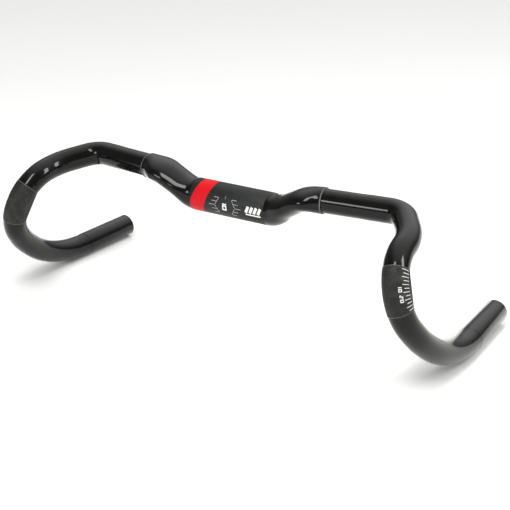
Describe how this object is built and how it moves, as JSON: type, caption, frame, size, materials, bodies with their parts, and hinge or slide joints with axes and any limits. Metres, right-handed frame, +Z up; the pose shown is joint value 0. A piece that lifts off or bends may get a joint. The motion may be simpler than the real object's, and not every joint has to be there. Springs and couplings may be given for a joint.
{
  "type": "drop handlebar",
  "caption": "Bare riser drop handlebar in gloss black carbon, with a round clamp barrel, flattened shoulders, swept tops, lever seats on the hooks and flared drops.",
  "frame": {"origin": "centre of the clamp barrel, on its axis", "axes": "+X along the clamp barrel towards the rider's left hand, +Y to the rear towards the rider, +Z up"},
  "size_m": [0.487, 0.1958, 0.1492],
  "materials": {
    "centre_carbon": "clear-coated moulded carbon, gloss",
    "drop_carbon": "clear-coated moulded carbon, gloss",
    "end_carbon": "clear-coated carbon, gloss, trimmed end",
    "clamp_coat": "fine anti-slip coat, matte",
    "lever_coat": "sanded anti-slip coat, matte",
    "band_red": "printed red band under clear coat",
    "print_white": "pad-printed ink, white",
    "print_grey": "pad-printed ink, thin grey",
    "adhesive": "cured structural adhesive"
  },
  "bodies": {
    "root": {"centre_section": "centre_carbon", "clamp_grip_coat": "clamp_coat", "clamp_band": "band_red", "clamp_scale": "print_grey", "clamp_zero_mark": "print_white", "maker_mark": "print_white", "left_drop": "drop_carbon", "left_bond_line": "adhesive", "left_drop_end": "end_carbon", "left_end_bond": "adhesive", "left_lever_grip_coat": "lever_coat", "left_lever_upper_line": "print_grey", "left_lever_lower_line": "print_grey", "left_lever_scale": "print_white", "left_lever_figures": "print_white", "right_drop": "drop_carbon", "right_bond_line": "adhesive", "right_drop_end": "end_carbon", "right_end_bond": "adhesive", "right_lever_grip_coat": "lever_coat", "right_lever_upper_line": "print_grey", "right_lever_lower_line": "print_grey", "right_lever_scale": "print_white", "right_lever_figures": "print_white"}
  },
  "joints": []
}
